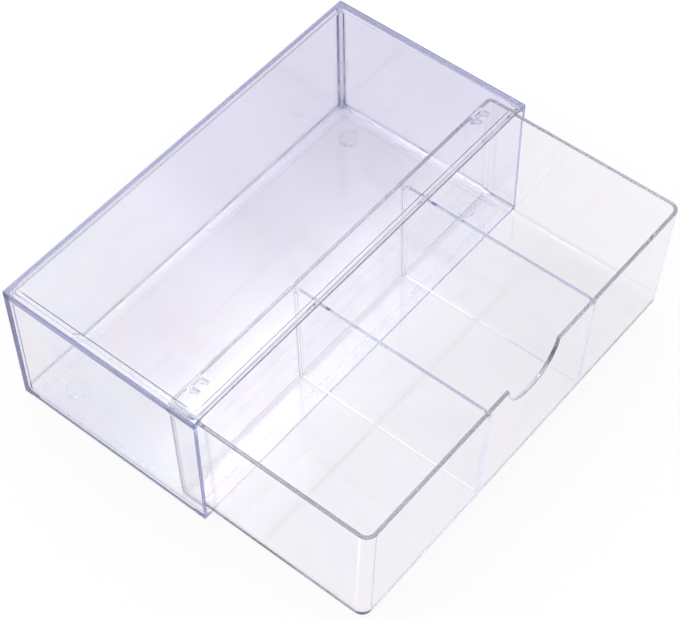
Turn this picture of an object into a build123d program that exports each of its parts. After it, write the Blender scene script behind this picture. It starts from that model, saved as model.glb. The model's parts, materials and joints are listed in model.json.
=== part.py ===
from build123d import *
import os

# Stackable clear drawer box: an open-fronted case, a drawer that slides on
# the case floor, lift-in dividers and round feet. Millimetres, +Z up,
# the drawer opens towards -Y. The drawer is drawn fully open.

# Case
case_width = 300.0
case_depth = 144.5
case_height = 95.5          # bottom edge to top panel, without rim and feet
case_wall = 2.4
case_corner = 1.2           # upright outer corners at the rear
case_edge = 0.7             # top and bottom outer edges along the sides and rear
mouth_edge = 0.3            # outer edges round the open front
mouth_lead = 1.2            # lead-in chamfer under the top panel at the mouth
mouth_draft = 0.5           # how much each inner side narrows towards the rear
case_rear_fillet = 5.0      # inside, down the rear corners
case_floor_fillet = 4.0     # inside, round the floor
case_top_fillet = 4.0       # inside, round the top panel

# Stacking rim on the top and ring under the floor
rim_height = 1.2
rim_side_outer = 1.2        # distances in from the case's outer faces, at the foot
rim_side_inner = 6.5
rim_end_outer = 0.9
rim_end_inner = 4.4
rim_shoulder = 1.5          # how far the rim's outer flank slopes in
rim_ease = 0.3              # between that flank and the rim's flat top
rim_corner = 5.5
ring_inset = rim_side_inner + 0.3
ring_width = 2.1
ring_draft = 0.3
ring_corner = 5.5

# Feet
foot_height = 2.5           # also the ring's depth below the case
foot_radius = 6.5
foot_edge = 0.8
foot_inset_x = 22.0
foot_inset_y = 24.0

# Drawer
slide_gap = 0.3             # under the drawer, between its floor and the case
drawer_side_gap = 2.3       # on each side, to the case wall at the mouth
drawer_head_gap = 3.2       # above the drawer, under the top panel
drawer_rear_gap = 2.3       # behind the drawer when it is pushed in
drawer_kept_in = 23.5       # depth that stays in the case when fully open
drawer_wall = 2.4
drawer_corner = 7.0         # upright corners at the front
drawer_rear_corner = 3.5    # upright corners at the rear
drawer_least_corner = 2.5   # no inner upright corner is tighter
front_draft = 4.2           # how far the front leans in at its foot
side_draft = 0.8
rear_draft = 1.0
drawer_foot_fillet = 2.2
drawer_inner_fillet = 2.2
drawer_lip = 0.5

# Finger scoop in the front wall
scoop_radius = 23.2
scoop_rise = 0.8            # centre of the arc above the drawer's top edge
scoop_ease = 0.4            # rounding of the scoop's edges

# Dividers and the slots that hold them
divider_thickness = 1.8
divider_drop = 2.5          # top edge below the drawer's top edge
divider_end_gap = 0.3
divider_side_gap = 0.2
divider_left_x = -39.8
divider_right_x = 58.8
divider_low_corner = 4.0
divider_rear_corner = 4.0
divider_front_corner = 3.0
slot_rib_width = 1.2
slot_rib_height = 1.4
slot_rib_drop = 5.0         # top of the slot ribs below the drawer's top edge

# Stop tabs under the case's top panel
tab_inset = 23.0            # from the case's side to the middle of the tab
tab_width = 9.8
tab_wall = 1.8
tab_leg_length = 8.0
tab_catch = 3.0             # how far the tab reaches below the drawer's top
tab_leg_tip = 1.5
tab_gap = 0.3

# Hairline under pieces that stand on another one
seat_gap = 0.05

# Levels and stations worked out from the sizes above
half_width = case_width / 2
case_bottom = foot_height
case_top = case_bottom + case_height
floor_top = case_bottom + case_wall
ceiling = case_top - case_wall
drawer_half_width = half_width - case_wall - drawer_side_gap
drawer_depth = case_depth - case_wall - drawer_rear_gap
drawer_travel = drawer_depth - drawer_kept_in
drawer_bottom = floor_top + slide_gap
drawer_height = ceiling - drawer_head_gap - drawer_bottom
case_front = (drawer_travel - case_depth) / 2
case_rear = case_front + case_depth
case_middle = (case_front + case_rear) / 2
drawer_top = drawer_bottom + drawer_height
drawer_floor = drawer_bottom + drawer_wall
drawer_front = case_front - drawer_travel
drawer_rear = drawer_front + drawer_depth
tab_stop_y = drawer_rear - drawer_wall - rear_draft * tab_catch / drawer_height - tab_gap


def rounded_plate(x_low, x_high, y_low, y_high, z, radius):
    """A flat rounded rectangle at height z."""
    width = x_high - x_low
    length = y_high - y_low
    plane = Plane.XY.offset(z)
    centre = Location(((x_low + x_high) / 2, (y_low + y_high) / 2, 0))
    return plane * centre * RectangleRounded(width, length, radius)


def frame_outline(inset_x, inset_y, z, radius):
    """A rounded rectangle set in from the case's outer faces."""
    return rounded_plate(
        -half_width + inset_x, half_width - inset_x,
        case_front + inset_y, case_rear - inset_y, z, radius)


def edges_at(shape, z):
    """Edges that lie flat at height z."""
    return [e for e in shape.edges()
            if abs(e.center().Z - z) < 1e-3 and e.bounding_box().size.Z < 1e-3]


def case_block():
    """The case's outer block: eased edges, nearly sharp round the mouth."""
    block = Location((0, case_middle, case_bottom + case_height / 2)) * Box(
        case_width, case_depth, case_height)
    upright = [e for e in block.edges().filter_by(Axis.Z) if e.center().Y > case_middle]
    block = fillet(upright, case_corner)
    level = edges_at(block, case_top) + edges_at(block, case_bottom)
    block = fillet([e for e in level if e.center().Y > case_front + 1e-3], case_edge)
    at_mouth = [e for e in block.edges() if e.bounding_box().max.Y < case_front + 1e-3]
    return fillet(at_mouth, mouth_edge)


def case_cavity():
    """The space inside the case, narrower and rounded at the rear."""
    inner_half = half_width - case_wall
    inner_rear = case_rear - case_wall
    start = case_front - 1.0
    middle_z = (floor_top + ceiling) / 2
    height = ceiling - floor_top
    mouth = Plane((0, start, middle_z), x_dir=(1, 0, 0), z_dir=(0, 1, 0))
    back = Plane((0, inner_rear, middle_z), x_dir=(1, 0, 0), z_dir=(0, 1, 0))
    near = mouth * Rectangle(2 * inner_half, height)
    far = back * Rectangle(2 * (inner_half - mouth_draft), height)
    cavity = loft([near, far], ruled=True)
    upright = [e for e in cavity.edges()
               if abs(e.center().Y - inner_rear) < 1e-3 and e.bounding_box().size.Z > 1]
    cavity = fillet(upright, case_rear_fillet)
    round_floor = [e for e in edges_at(cavity, floor_top) if e.center().Y > start + 1]
    cavity = fillet(round_floor, case_floor_fillet)
    round_top = [e for e in edges_at(cavity, ceiling) if e.center().Y > start + 1]
    return fillet(round_top, case_top_fillet)


def stacking_rim():
    """The low frame on the top panel that locates the next box's ring."""
    rim_top = case_top + rim_height
    foot = frame_outline(rim_side_outer, rim_end_outer, case_top, rim_corner)
    root = extrude(foot, -0.4)
    crown = frame_outline(rim_side_outer + rim_shoulder, rim_end_outer + rim_shoulder,
                          rim_top, rim_corner - rim_shoulder / 2)
    flank = loft([foot, crown], ruled=True)
    outer = root + fillet(edges_at(flank, rim_top), rim_ease)
    inner_corner = rim_corner - (rim_end_inner - rim_end_outer) / 2
    inner = extrude(frame_outline(rim_side_inner, rim_end_inner, case_top - 1.0, inner_corner),
                    rim_height + 2.0)
    return outer - inner


def stacking_ring():
    """The tapered ring under the floor that drops inside the rim below."""
    depth = foot_height
    root = 0.5
    low_out = frame_outline(ring_inset + ring_draft, ring_inset + ring_draft, 0, ring_corner)
    high_out = frame_outline(ring_inset, ring_inset, depth + root, ring_corner)
    wide = ring_inset + ring_width
    low_in = frame_outline(wide - ring_draft, wide - ring_draft, -0.5, ring_corner - 1.5)
    high_in = frame_outline(wide, wide, depth + root, ring_corner - 1.5)
    return loft([low_out, high_out], ruled=True) - loft([low_in, high_in], ruled=True)


def stop_tab(side):
    """A hook under the top panel: a cross wall with two ramped legs."""
    root = ceiling + 0.6
    tip = drawer_top - tab_catch
    x_middle = side * (half_width - tab_inset)
    wall_y = tab_stop_y - tab_wall / 2
    wall = Location((x_middle, wall_y, (root + tip) / 2)) * Box(tab_width, tab_wall, root - tip)
    low_edges = wall.edges().filter_by(Axis.Z)
    wall = fillet(low_edges, 0.4)
    start = tab_stop_y - tab_wall / 2
    end = tab_stop_y - tab_leg_length
    profile = Polygon(
        (start, root), (start, tip + 0.4), (end, ceiling - tab_leg_tip), (end, root), align=None)
    tab = wall
    for offset in (-1, 1):
        x_leg = x_middle + offset * (tab_width - tab_wall) / 2
        plane = Plane((x_leg, 0, 0), x_dir=(0, 1, 0), z_dir=(1, 0, 0))
        tab += extrude(plane * profile, tab_wall / 2, both=True)
    return tab


def mouth_wedge():
    """What the lead-in chamfer takes off under the front of the top panel."""
    half = half_width - case_wall - case_top_fillet
    low = ceiling - 1
    points = [(case_front - 1, low), (case_front - 1, ceiling + mouth_lead + 1),
              (case_front + mouth_lead + 1, low)]
    plane = Plane((0, 0, 0), x_dir=(0, 1, 0), z_dir=(1, 0, 0))
    return extrude(plane * Polygon(*points, align=None), half, both=True)


def case_shell():
    """The open-fronted case with its rim, ring and stop tabs."""
    shell = case_block() - case_cavity() - mouth_wedge()
    shell += stacking_rim()
    shell += stacking_ring()
    for side in (-1, 1):
        shell += stop_tab(side)
    return shell


def drawer_outline(z, inset):
    """The drawer's plan at height z, set in by the wall where asked."""
    share = (drawer_top - z) / drawer_height
    half = drawer_half_width - side_draft * share - inset
    front = drawer_front + front_draft * share + inset
    rear = drawer_rear - rear_draft * share - inset
    middle = (front + rear) / 2
    plan = Plane.XY.offset(z) * Location((0, middle, 0)) * Rectangle(2 * half, rear - front)
    front_corners = [v for v in plan.vertices() if v.Y < middle]
    plan = fillet(front_corners, max(drawer_corner - inset, drawer_least_corner))
    rear_corners = [v for v in plan.vertices() if abs(v.Y - rear) < 1e-3]
    return fillet(rear_corners, max(drawer_rear_corner - inset, drawer_least_corner))


def front_inner_y(z):
    """Inner face of the leaning front wall at height z."""
    return drawer_front + front_draft * (drawer_top - z) / drawer_height + drawer_wall


def rear_inner_y(z):
    """Inner face of the rear wall at height z."""
    return drawer_rear - rear_draft * (drawer_top - z) / drawer_height - drawer_wall


def side_profile(points):
    """A polygon drawn in the upright plane through the drawer's depth."""
    return Polygon(*points, align=None)


def slot_rib(x, at_front):
    """One upright rib on the inner face of the front or rear wall."""
    low = drawer_floor - 0.5
    high = drawer_top - slot_rib_drop
    reach = slot_rib_height
    bury = drawer_wall / 2
    if at_front:
        points = [(front_inner_y(low) - bury, low), (front_inner_y(low) + reach, low),
                  (front_inner_y(high) + reach * 0.7, high), (front_inner_y(high) - bury, high)]
    else:
        points = [(rear_inner_y(low) + bury, low), (rear_inner_y(low) - reach, low),
                  (rear_inner_y(high) - reach * 0.7, high), (rear_inner_y(high) + bury, high)]
    plane = Plane((x, 0, 0), x_dir=(0, 1, 0), z_dir=(1, 0, 0))
    return extrude(plane * side_profile(points), slot_rib_width / 2, both=True)


def scoop_edges(tray):
    """The two arcs that the scoop leaves on the front wall's faces."""
    lowest = drawer_top + scoop_rise - scoop_radius
    arcs = []
    for edge in tray.edges():
        box = edge.bounding_box()
        in_front = box.max.Y < front_inner_y(lowest) + 1
        if in_front and abs(box.min.Z - lowest) < 0.5 and abs(edge.center().X) < 1:
            arcs.append(edge)
    return arcs


def drawer_tray():
    """The drawer: drafted walls, finger scoop and divider slots."""
    body = loft([drawer_outline(drawer_bottom, 0), drawer_outline(drawer_top, 0)], ruled=True)
    body = fillet(edges_at(body, drawer_bottom), drawer_foot_fillet)
    hollow = loft([drawer_outline(drawer_floor, drawer_wall),
                   drawer_outline(drawer_top, drawer_wall)], ruled=True)
    hollow = fillet(edges_at(hollow, drawer_floor), drawer_inner_fillet)
    tray = body - hollow
    tray = fillet(edges_at(tray, drawer_top), drawer_lip)
    scoop = Location((0, drawer_front + drawer_wall, drawer_top + scoop_rise),
                     (90, 0, 0)) * Cylinder(scoop_radius, 6 * drawer_wall)
    tray -= scoop
    tray = fillet(scoop_edges(tray), scoop_ease)
    rib_offset = divider_thickness / 2 + divider_side_gap + slot_rib_width / 2
    for x_divider in (divider_left_x, divider_right_x):
        for offset in (-rib_offset, rib_offset):
            tray += slot_rib(x_divider + offset, True)
            tray += slot_rib(x_divider + offset, False)
    return tray


def divider(x):
    """A lift-in divider whose ends follow the leaning walls."""
    low = drawer_floor + seat_gap
    high = drawer_top - divider_drop
    front_low = front_inner_y(low) + divider_end_gap
    front_high = front_inner_y(high) + divider_end_gap
    rear_low = rear_inner_y(low) - divider_end_gap
    rear_high = rear_inner_y(high) - divider_end_gap
    points = [(front_low, low), (rear_low, low), (rear_high, high), (front_high, high)]
    plane = Plane((x, 0, 0), x_dir=(0, 1, 0), z_dir=(1, 0, 0))
    plate = extrude(plane * side_profile(points), divider_thickness / 2, both=True)
    corners = plate.edges().filter_by(Axis.X)
    low_corners = [e for e in corners if e.center().Z < low + 1]
    plate = fillet(low_corners, divider_low_corner)
    corners = plate.edges().filter_by(Axis.X)
    rear_corner = [e for e in corners
                   if e.center().Z > high - 1 and abs(e.center().Y - rear_high) < 1]
    plate = fillet(rear_corner, divider_rear_corner)
    corners = plate.edges().filter_by(Axis.X)
    front_corner = [e for e in corners
                    if e.center().Z > high - 1 and abs(e.center().Y - front_high) < 1]
    return fillet(front_corner, divider_front_corner)


def foot(side_x, side_y):
    """A low round foot under one corner of the case."""
    x = side_x * (half_width - foot_inset_x)
    y = case_middle + side_y * (case_depth / 2 - foot_inset_y)
    height = foot_height - seat_gap
    pad = Location((x, y, height / 2)) * Cylinder(foot_radius, height)
    return fillet(edges_at(pad, 0), foot_edge)


pieces = {
    "case_shell": case_shell(),
    "drawer_tray": drawer_tray(),
    "divider_left": divider(divider_left_x),
    "divider_right": divider(divider_right_x),
    "foot_front_left": foot(-1, -1),
    "foot_front_right": foot(1, -1),
    "foot_rear_left": foot(-1, 1),
    "foot_rear_right": foot(1, 1),
}

os.makedirs("parts", exist_ok=True)
for name, shape in pieces.items():
    export_step(shape, f"parts/{name}.step")
    box = shape.bounding_box()
    print(name, "solids", len(shape.solids()), "volume", round(shape.volume), "min",
          [round(v, 2) for v in (box.min.X, box.min.Y, box.min.Z)], "max",
          [round(v, 2) for v in (box.max.X, box.max.Y, box.max.Z)])
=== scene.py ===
import json
import math
import bpy
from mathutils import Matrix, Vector

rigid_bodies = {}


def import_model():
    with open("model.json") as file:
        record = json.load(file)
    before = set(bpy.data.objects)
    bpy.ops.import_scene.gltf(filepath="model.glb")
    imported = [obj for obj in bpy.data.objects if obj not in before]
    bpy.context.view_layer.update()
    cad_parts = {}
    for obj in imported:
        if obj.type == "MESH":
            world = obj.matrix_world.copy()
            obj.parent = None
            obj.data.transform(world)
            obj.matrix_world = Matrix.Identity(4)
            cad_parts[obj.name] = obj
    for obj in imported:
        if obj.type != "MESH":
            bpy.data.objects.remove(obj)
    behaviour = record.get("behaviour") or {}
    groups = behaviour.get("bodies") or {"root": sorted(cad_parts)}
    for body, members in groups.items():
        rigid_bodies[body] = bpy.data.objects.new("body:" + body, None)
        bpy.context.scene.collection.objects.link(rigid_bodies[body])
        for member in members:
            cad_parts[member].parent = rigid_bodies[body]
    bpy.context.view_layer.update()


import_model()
scene = bpy.context.scene
print("frame loaded")


# Camera at the photograph's angle
cameraLook = {
    "place": (-0.55451, -0.45956, 0.97388), "turn": (37.528, 0.662, -50.68),
    "lens": 105.23, "sensorWidth": 36, "clipStart": 0.01, "clipEnd": 20,
}


def makeCamera():
    turn = [math.radians(v) for v in cameraLook["turn"]]
    bpy.ops.object.camera_add(location=cameraLook["place"], rotation=turn)
    camera = bpy.context.object
    camera.data.lens = cameraLook["lens"]
    camera.data.sensor_width = cameraLook["sensorWidth"]
    camera.data.clip_start = cameraLook["clipStart"]
    camera.data.clip_end = cameraLook["clipEnd"]
    scene.camera = camera
    print("camera set")


# Small helpers that add one shader node each and give back its output
def addMath(nodes, links, operation, first, second):
    node = nodes.new("ShaderNodeMath")
    node.operation = operation
    for socket, value in zip(node.inputs, (first, second)):
        if isinstance(value, (int, float)):
            socket.default_value = value
        else:
            links.new(value, socket)
    return node.outputs[0]


def addFade(nodes, links, value, start, end, low, high, shape="SMOOTHSTEP"):
    fade = nodes.new("ShaderNodeMapRange")
    fade.interpolation_type = shape
    names = ("From Min", "From Max", "To Min", "To Max")
    for name, number in zip(names, (start, end, low, high)):
        fade.inputs[name].default_value = number
    links.new(value, fade.inputs["Value"])
    return fade.outputs["Result"]


def addMix(nodes, links, kind, share, first, second):
    mix = nodes.new("ShaderNodeMix")
    mix.data_type = kind
    sockets = [socket for socket in mix.inputs if socket.enabled]
    links.new(share, sockets[0])
    for socket, value in zip(sockets[1:], (first, second)):
        if isinstance(value, (tuple, float)):
            socket.default_value = value
        else:
            links.new(value, socket)
    return [socket for socket in mix.outputs if socket.enabled][0]


def addShaderMix(nodes, links, share, first, second):
    mix = nodes.new("ShaderNodeMixShader")
    for socket, value in zip(mix.inputs, (share, first, second)):
        links.new(value, socket)
    return mix.outputs[0]


def addNoise(nodes, links, place, look):
    noise = nodes.new("ShaderNodeTexNoise")
    noise.inputs["Scale"].default_value = look["scale"]
    noise.inputs["Detail"].default_value = look["detail"]
    noise.inputs["Distortion"].default_value = look["distortion"]
    links.new(place, noise.inputs["Vector"])
    return noise.outputs["Fac"]


def addRamp(nodes, links, value, stops):
    ramp = nodes.new("ShaderNodeValToRGB")
    marks = ramp.color_ramp.elements
    marks.remove(marks[1])
    marks[0].position = stops[0][0]
    marks[0].color = (*stops[0][1], 1)
    for place, colour in stops[1:]:
        marks.new(place).color = (*colour, 1)
    links.new(value, ramp.inputs["Fac"])
    return ramp.outputs["Color"]


# Clear moulded plastic. "tint" and "density" colour the light inside the wall, "surface"
# colours it once at each face. A zone is a box of painted shade that darkens and tints
# the outer faces inside it.
clearLook = {
    "caseClear": {
        "tint": (0.765, 0.778, 0.905), "density": 20.0, "surface": (0.982, 0.979, 1.0),
        "rough": 0.065, "ior": 1.57, "stress": 0.040,
        # along x, the stress bands fade from left to right
        "strained": (-0.13, 0.02), "calmShare": 0.75,
        # along x + y, painted shade darkens the surface towards the rear right
        "rearShadeSpan": (0.0, 0.16), "rearShadeSurface": (0.935, 0.931, 0.988),
        "shadeZones": (
            # painted shade: dark blue band along the left side wall, below its top edge
            {"low": (-0.2, -0.2, 0.0938), "high": (-0.1488, 0.2, 0.0981),
             "soft": 0.0010, "surface": (0.14, 0.16, 0.38)},
            # painted shade: narrow dark blue edge on the right
            {"low": (0.1491, -0.2, 0.0934), "high": (0.2, 0.2, 0.0990),
             "soft": 0.0004, "surface": (0.12, 0.12, 0.36)},
            # painted shade: dark line along the rim's inner edge at the front
            {"low": (-0.1380, -0.0102, 0.0990), "high": (0.1380, -0.0097, 0.1),
             "soft": 0.0002, "surface": (0.02, 0.02, 0.03)},
            # painted shade: dark line along the rim's inner edge at the left
            {"low": (-0.1441, -0.0040, 0.0990), "high": (-0.1435, 0.1200, 0.1),
             "soft": 0.0002, "surface": (0.04, 0.04, 0.06)},
            # painted shade: grey line at the foot of the rim at the front
            {"low": (-0.1430, -0.0126, 0.0978), "high": (0.1430, -0.0123, 0.1),
             "soft": 0.0002, "surface": (0.30, 0.30, 0.32)},
            # painted shade: blue-grey line at the rim's shoulder at the rear
            {"low": (-0.1400, 0.1278, 0.0978), "high": (0.1430, 0.1285, 0.1),
             "soft": 0.0003, "surface": (0.30, 0.30, 0.52)},
            # painted shade: dull line along the front edge of the top panel
            {"low": (-0.1480, -0.0142, 0.0974), "high": (0.1480, -0.0137, 0.1),
             "soft": 0.0002, "surface": (0.45, 0.42, 0.34)},
        ),
    },
    "drawerClear": {
        "tint": (0.90, 0.90, 0.92), "density": 20.0, "surface": (0.997, 0.995, 1.0),
        "rough": 0.05, "ior": 1.57, "stress": 0.008,
        "shadeZones": (
            # painted shade: greyer top edge on the left and front left
            {"low": (-0.2, -0.2, 0.0914), "high": (0.02, 0.0045, 0.1),
             "soft": 0.0006, "surface": (0.56, 0.56, 0.59)},
        ),
    },
    "dividerClear": {
        "tint": (0.74, 0.83, 0.94), "density": 20.0, "surface": (0.99, 0.995, 1.0),
        "rough": 0.012, "ior": 1.57, "stress": 0.006,
        "shadeZones": (
            # painted shade: duller, warmer top edge
            {"low": (-0.2, -0.2, 0.0889), "high": (0.2, 0.2, 0.1),
             "soft": 0.0006, "surface": (0.85, 0.76, 0.74)},
        ),
    },
    "footClear": {
        "tint": (0.90, 0.90, 0.95), "density": 20.0, "surface": (0.99, 0.99, 1.0),
        "rough": 0.08, "ior": 1.41, "stress": 0.004,
    },
}

# Slow bands of moulding stress: each takes a share of "stress" off the surface colour
stressLook = {
    "scale": 11.0, "detail": 1.0, "distortion": 0.6,
    "bands": ((0.34, (0, 0, 0)), (0.42, (0, -0.6, -0.3)), (0.48, (0, -0.1, -1)),
              (0.54, (0, 0, 0)), (0.60, (-1, 0, 0)), (0.67, (0, -0.8, 0)),
              (0.74, (0, 0, 0))),
}

# Fine rubbed marks: the roughness runs between two shares of "rough"
rubLook = {
    "scale": 60.0, "detail": 5.0, "distortion": 0.0,
    "noiseSpan": (0.35, 0.75), "leastShare": 0.5, "mostShare": 1.8,
}

# Which plastic each piece is made of, by the start of its name
plasticOf = {
    "case": "caseClear", "drawer": "drawerClear",
    "divider": "dividerClear", "foot": "footClear",
}


def addZone(nodes, links, place, zone):
    # one on outer faces inside the zone's box, nothing elsewhere
    side = nodes.new("ShaderNodeNewGeometry")
    parts = nodes.new("ShaderNodeSeparateXYZ")
    links.new(place, parts.inputs[0])
    half = zone["soft"] / 2
    inside = addMath(nodes, links, "SUBTRACT", 1.0, side.outputs["Backfacing"])
    for axis, low, high in zip("XYZ", zone["low"], zone["high"]):
        along = parts.outputs[axis]
        rise = addFade(nodes, links, along, low - half, low + half, 0, 1)
        fall = addFade(nodes, links, along, high - half, high + half, 1, 0)
        slab = addMath(nodes, links, "MULTIPLY", rise, fall)
        inside = addMath(nodes, links, "MULTIPLY", inside, slab)
    return inside


def addSurfaceColour(nodes, links, place, look):
    base = look["surface"]
    stops = [(at, [b + look["stress"] * v for b, v in zip(base, shift)])
             for at, shift in stressLook["bands"]]
    flow = addNoise(nodes, links, place, stressLook)
    tone = addRamp(nodes, links, flow, stops)
    if "strained" in look:
        parts = nodes.new("ShaderNodeSeparateXYZ")
        links.new(place, parts.inputs[0])
        calm = addFade(nodes, links, parts.outputs["X"], *look["strained"],
                       0.0, look["calmShare"])
        tone = addMix(nodes, links, "RGBA", calm, tone, (*base, 1))
        # painted shade: the surface colour darkens towards the rear right
        slant = addMath(nodes, links, "ADD", parts.outputs["X"], parts.outputs["Y"])
        rearShade = addFade(nodes, links, slant, *look["rearShadeSpan"], 0, 1)
        tone = addMix(nodes, links, "RGBA", rearShade, tone, (*look["rearShadeSurface"], 1))
    # each zone lays its painted shade over the surface colour
    for zone in look.get("shadeZones", ()):
        inside = addZone(nodes, links, place, zone)
        tone = addMix(nodes, links, "RGBA", inside, tone, (*zone["surface"], 1))
    return tone


def makeClearPlastic(name):
    look = clearLook[name]
    material = bpy.data.materials.new(name)
    material.use_nodes = True
    nodes = material.node_tree.nodes
    links = material.node_tree.links
    nodes.clear()
    output = nodes.new("ShaderNodeOutputMaterial")
    shader = nodes.new("ShaderNodeBsdfPrincipled")
    shader.inputs["Transmission Weight"].default_value = 1.0
    shader.inputs["IOR"].default_value = look["ior"]
    links.new(shader.outputs["BSDF"], output.inputs["Surface"])
    place = nodes.new("ShaderNodeTexCoord").outputs["Object"]
    links.new(addSurfaceColour(nodes, links, place, look), shader.inputs["Base Color"])
    rub = addNoise(nodes, links, place, rubLook)
    gloss = addFade(nodes, links, rub, *rubLook["noiseSpan"],
                    look["rough"] * rubLook["leastShare"],
                    look["rough"] * rubLook["mostShare"], "LINEAR")
    links.new(gloss, shader.inputs["Roughness"])
    body = nodes.new("ShaderNodeVolumeAbsorption")
    body.inputs["Color"].default_value = (*look["tint"], 1)
    body.inputs["Density"].default_value = look["density"]
    links.new(body.outputs["Volume"], output.inputs["Volume"])
    return material


def dressPieces():
    for name in list(bpy.data.objects.keys()):
        piece = bpy.data.objects[name]
        plastic = plasticOf.get(name.split("_")[0])
        if piece.type != "MESH" or plastic is None:
            continue
        material = bpy.data.materials.get(plastic) or makeClearPlastic(plastic)
        for slot in piece.material_slots:
            slot.material = material
        if not piece.material_slots:
            piece.data.materials.append(material)
        print("dressed", name, "with", plastic)


# Backdrop: the even light on the object, and its colour as seen through the plastic,
# dulled by painted shade
backdropLook = {"lightLevel": 1.12, "seenShade": (0.93, 0.915, 0.955)}


def addSeenRays(nodes, links, rays):
    # one for rays that show the background: straight, reflected or through the plastic
    seen = addMath(nodes, links, "MAXIMUM",
                   rays.outputs["Is Camera Ray"], rays.outputs["Is Glossy Ray"])
    return addMath(nodes, links, "MAXIMUM", seen, rays.outputs["Is Transmission Ray"])


def addSweepColour(nodes, links, rays):
    # pure white straight to the camera; painted shade makes it a touch duller in
    # reflections and through the plastic
    return addMix(nodes, links, "RGBA", rays.outputs["Is Camera Ray"],
                  (*backdropLook["seenShade"], 1), (1, 1, 1, 1))


# Pale floor, seen as part of the backdrop: "litShare" of it takes light and shadow
floorLook = {"size": 8.0, "drop": 0.0004, "colour": (0.95, 0.95, 0.95), "litShare": 0.12}


def makeFloor():
    bpy.ops.object.select_all(action="DESELECT")
    bpy.ops.mesh.primitive_plane_add(size=floorLook["size"],
                                     location=(0, 0, -floorLook["drop"]))
    floor = bpy.context.object
    floor.name = "studioFloor"
    material = bpy.data.materials.new("paleFloor")
    material.use_nodes = True
    nodes = material.node_tree.nodes
    links = material.node_tree.links
    nodes.clear()
    output = nodes.new("ShaderNodeOutputMaterial")
    lit = nodes.new("ShaderNodeBsdfDiffuse")
    lit.inputs["Color"].default_value = (*floorLook["colour"], 1)
    rays = nodes.new("ShaderNodeLightPath")
    glow = nodes.new("ShaderNodeEmission")
    links.new(addSweepColour(nodes, links, rays), glow.inputs["Color"])
    share = addMath(nodes, links, "MULTIPLY", addSeenRays(nodes, links, rays),
                    1 - floorLook["litShare"])
    links.new(addShaderMix(nodes, links, share, lit.outputs[0], glow.outputs[0]),
              output.inputs["Surface"])
    floor.data.materials.append(material)
    print("floor laid")


# The room that the plastic reflects and refracts, by direction. A strip lamp lies between
# two slopes y / z, and lamp and wall change along x from stop to stop.
roomLook = {
    "tint": (0.92, 0.90, 1.0), "leastRise": 0.3,
    "lampNear": (0.42, 0.47), "lampFar": (0.510, 0.528),
    "lampStops": ((0.40, 3.1), (0.45, 1.8), (0.49, 2.2), (0.52, 1.0), (0.553, 0.7),
                  (0.57, 0.1)),
    "wallStops": ((0.30, 0.90), (0.36, 1.15), (0.385, 1.25), (0.40, 1.0), (0.436, 1.50),
                  (0.469, 0.55), (0.485, 0.90), (0.50, 0.70), (0.52, 0.20),
                  (0.545, 0.45), (0.565, 0.15), (0.58, 0.12)),
    "stopSpan": (0.2, 0.7), "stopTop": 3.5,
    "haloSpan": (0.53, 0.60), "haloLevel": 0.25,
    # away from the lamp the room fades to one level
    "lampTo": (0.44, 0.42, 0.79), "farSpan": (0.28, 0.45), "farLevel": 0.68,
    "horizonTop": 0.3, "horizonLevel": 0.4,
    # two soft boxes, bright in the middle and fading over the rest of their reach
    "boxes": ({"towards": (-0.17, 0.38, 0.90), "reach": 0.15, "level": 5.0},
              {"towards": (0.45, -0.22, 0.86), "reach": 0.15, "level": 5.0}),
    "boxMiddle": 0.6,
}


def addLevels(nodes, links, value, levels):
    # levels along x, kept between 0 and 1 in the ramp and scaled after it
    low, high = roomLook["stopSpan"]
    top = roomLook["stopTop"]
    place = addFade(nodes, links, value, low, high, 0, 1, "LINEAR")
    stops = [((at - low) / (high - low), [level / top] * 3) for at, level in levels]
    return addMath(nodes, links, "MULTIPLY", addRamp(nodes, links, place, stops), top)


def addDistance(nodes, links, towards, place):
    away = nodes.new("ShaderNodeVectorMath")
    away.operation = "DISTANCE"
    away.inputs[1].default_value = place
    links.new(towards, away.inputs[0])
    return away.outputs["Value"]


def addRoomLevel(nodes, links):
    towards = nodes.new("ShaderNodeTexCoord").outputs["Generated"]
    parts = nodes.new("ShaderNodeSeparateXYZ")
    links.new(towards, parts.inputs[0])
    across, back, up = (parts.outputs[axis] for axis in "XYZ")
    rise = addMath(nodes, links, "MAXIMUM", up, roomLook["leastRise"])
    slope = addMath(nodes, links, "DIVIDE", back, rise)
    # strip lamp, walls and the halo behind the lamp
    nearEdge = addFade(nodes, links, slope, *roomLook["lampNear"], 0, 1)
    farEdge = addFade(nodes, links, slope, *roomLook["lampFar"], 1, 0)
    strip = addMath(nodes, links, "MULTIPLY", nearEdge, farEdge)
    lamp = addMath(nodes, links, "MULTIPLY", strip,
                   addLevels(nodes, links, across, roomLook["lampStops"]))
    wall = addLevels(nodes, links, across, roomLook["wallStops"])
    halo = addFade(nodes, links, slope, *roomLook["haloSpan"], roomLook["haloLevel"], 0)
    close = addMath(nodes, links, "ADD", addMath(nodes, links, "ADD", lamp, wall), halo)
    # one plain level away from the lamp, dimmer towards the horizon
    away = addDistance(nodes, links, towards, roomLook["lampTo"])
    far = addFade(nodes, links, away, *roomLook["farSpan"], 0, 1)
    level = addMix(nodes, links, "FLOAT", far, close, roomLook["farLevel"])
    upright = addMath(nodes, links, "ABSOLUTE", up, 0.0)
    horizon = addFade(nodes, links, upright, 0.0, roomLook["horizonTop"],
                      roomLook["horizonLevel"], 1)
    room = addMath(nodes, links, "MULTIPLY", level, horizon)
    for box in roomLook["boxes"]:
        away = addDistance(nodes, links, towards, box["towards"])
        glow = addFade(nodes, links, away, box["reach"] * roomLook["boxMiddle"],
                       box["reach"], box["level"], 0)
        room = addMath(nodes, links, "ADD", room, glow)
    return room


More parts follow.
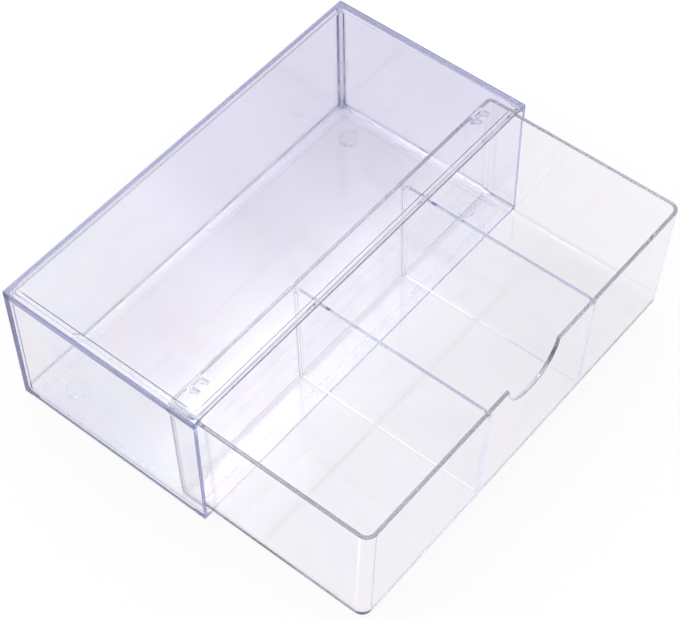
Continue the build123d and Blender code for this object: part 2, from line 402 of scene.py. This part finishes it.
def makeWorld():
    world = bpy.data.worlds.new("studio")
    scene.world = world
    world.use_nodes = True
    nodes = world.node_tree.nodes
    links = world.node_tree.links
    nodes.clear()
    output = nodes.new("ShaderNodeOutputWorld")
    rays = nodes.new("ShaderNodeLightPath")
    light = nodes.new("ShaderNodeBackground")
    light.inputs["Color"].default_value = (1, 1, 1, 1)
    light.inputs["Strength"].default_value = backdropLook["lightLevel"]
    sweep = nodes.new("ShaderNodeBackground")
    links.new(addSweepColour(nodes, links, rays), sweep.inputs["Color"])
    # reflections and refractions see the room in place of the white sweep
    room = nodes.new("ShaderNodeBackground")
    room.inputs["Color"].default_value = (*roomLook["tint"], 1)
    links.new(addRoomLevel(nodes, links), room.inputs["Strength"])
    seen = addShaderMix(nodes, links, rays.outputs["Is Camera Ray"],
                        room.outputs[0], sweep.outputs[0])
    both = addShaderMix(nodes, links, addSeenRays(nodes, links, rays),
                        light.outputs[0], seen)
    links.new(both, output.inputs["Surface"])
    print("world set")


# One weak soft box at the rear left
softboxLook = {
    "name": "leftSoftbox", "place": (-1.3, 0.9, 1.5), "aim": (0, 0, 0.05),
    "size": 0.9, "power": 4.0,
}


def makeSoftbox():
    bpy.ops.object.light_add(type="AREA", location=softboxLook["place"])
    lamp = bpy.context.object
    lamp.name = softboxLook["name"]
    lamp.data.shape = "SQUARE"
    lamp.data.size = softboxLook["size"]
    lamp.data.energy = softboxLook["power"]
    aim = Vector(softboxLook["aim"]) - Vector(softboxLook["place"])
    lamp.rotation_euler = aim.to_track_quat("-Z", "Y").to_euler()
    print("soft box set")


# Light crosses many walls of clear plastic, so it may bounce often
rayLook = {"bounces": 96}


def setRays():
    scene.view_settings.view_transform = "Standard"
    scene.cycles.max_bounces = rayLook["bounces"]
    scene.cycles.transmission_bounces = rayLook["bounces"]
    scene.cycles.glossy_bounces = rayLook["bounces"]
    scene.cycles.volume_bounces = 0
    print("rays set")


makeCamera()
dressPieces()
makeFloor()
makeWorld()
makeSoftbox()
setRays()
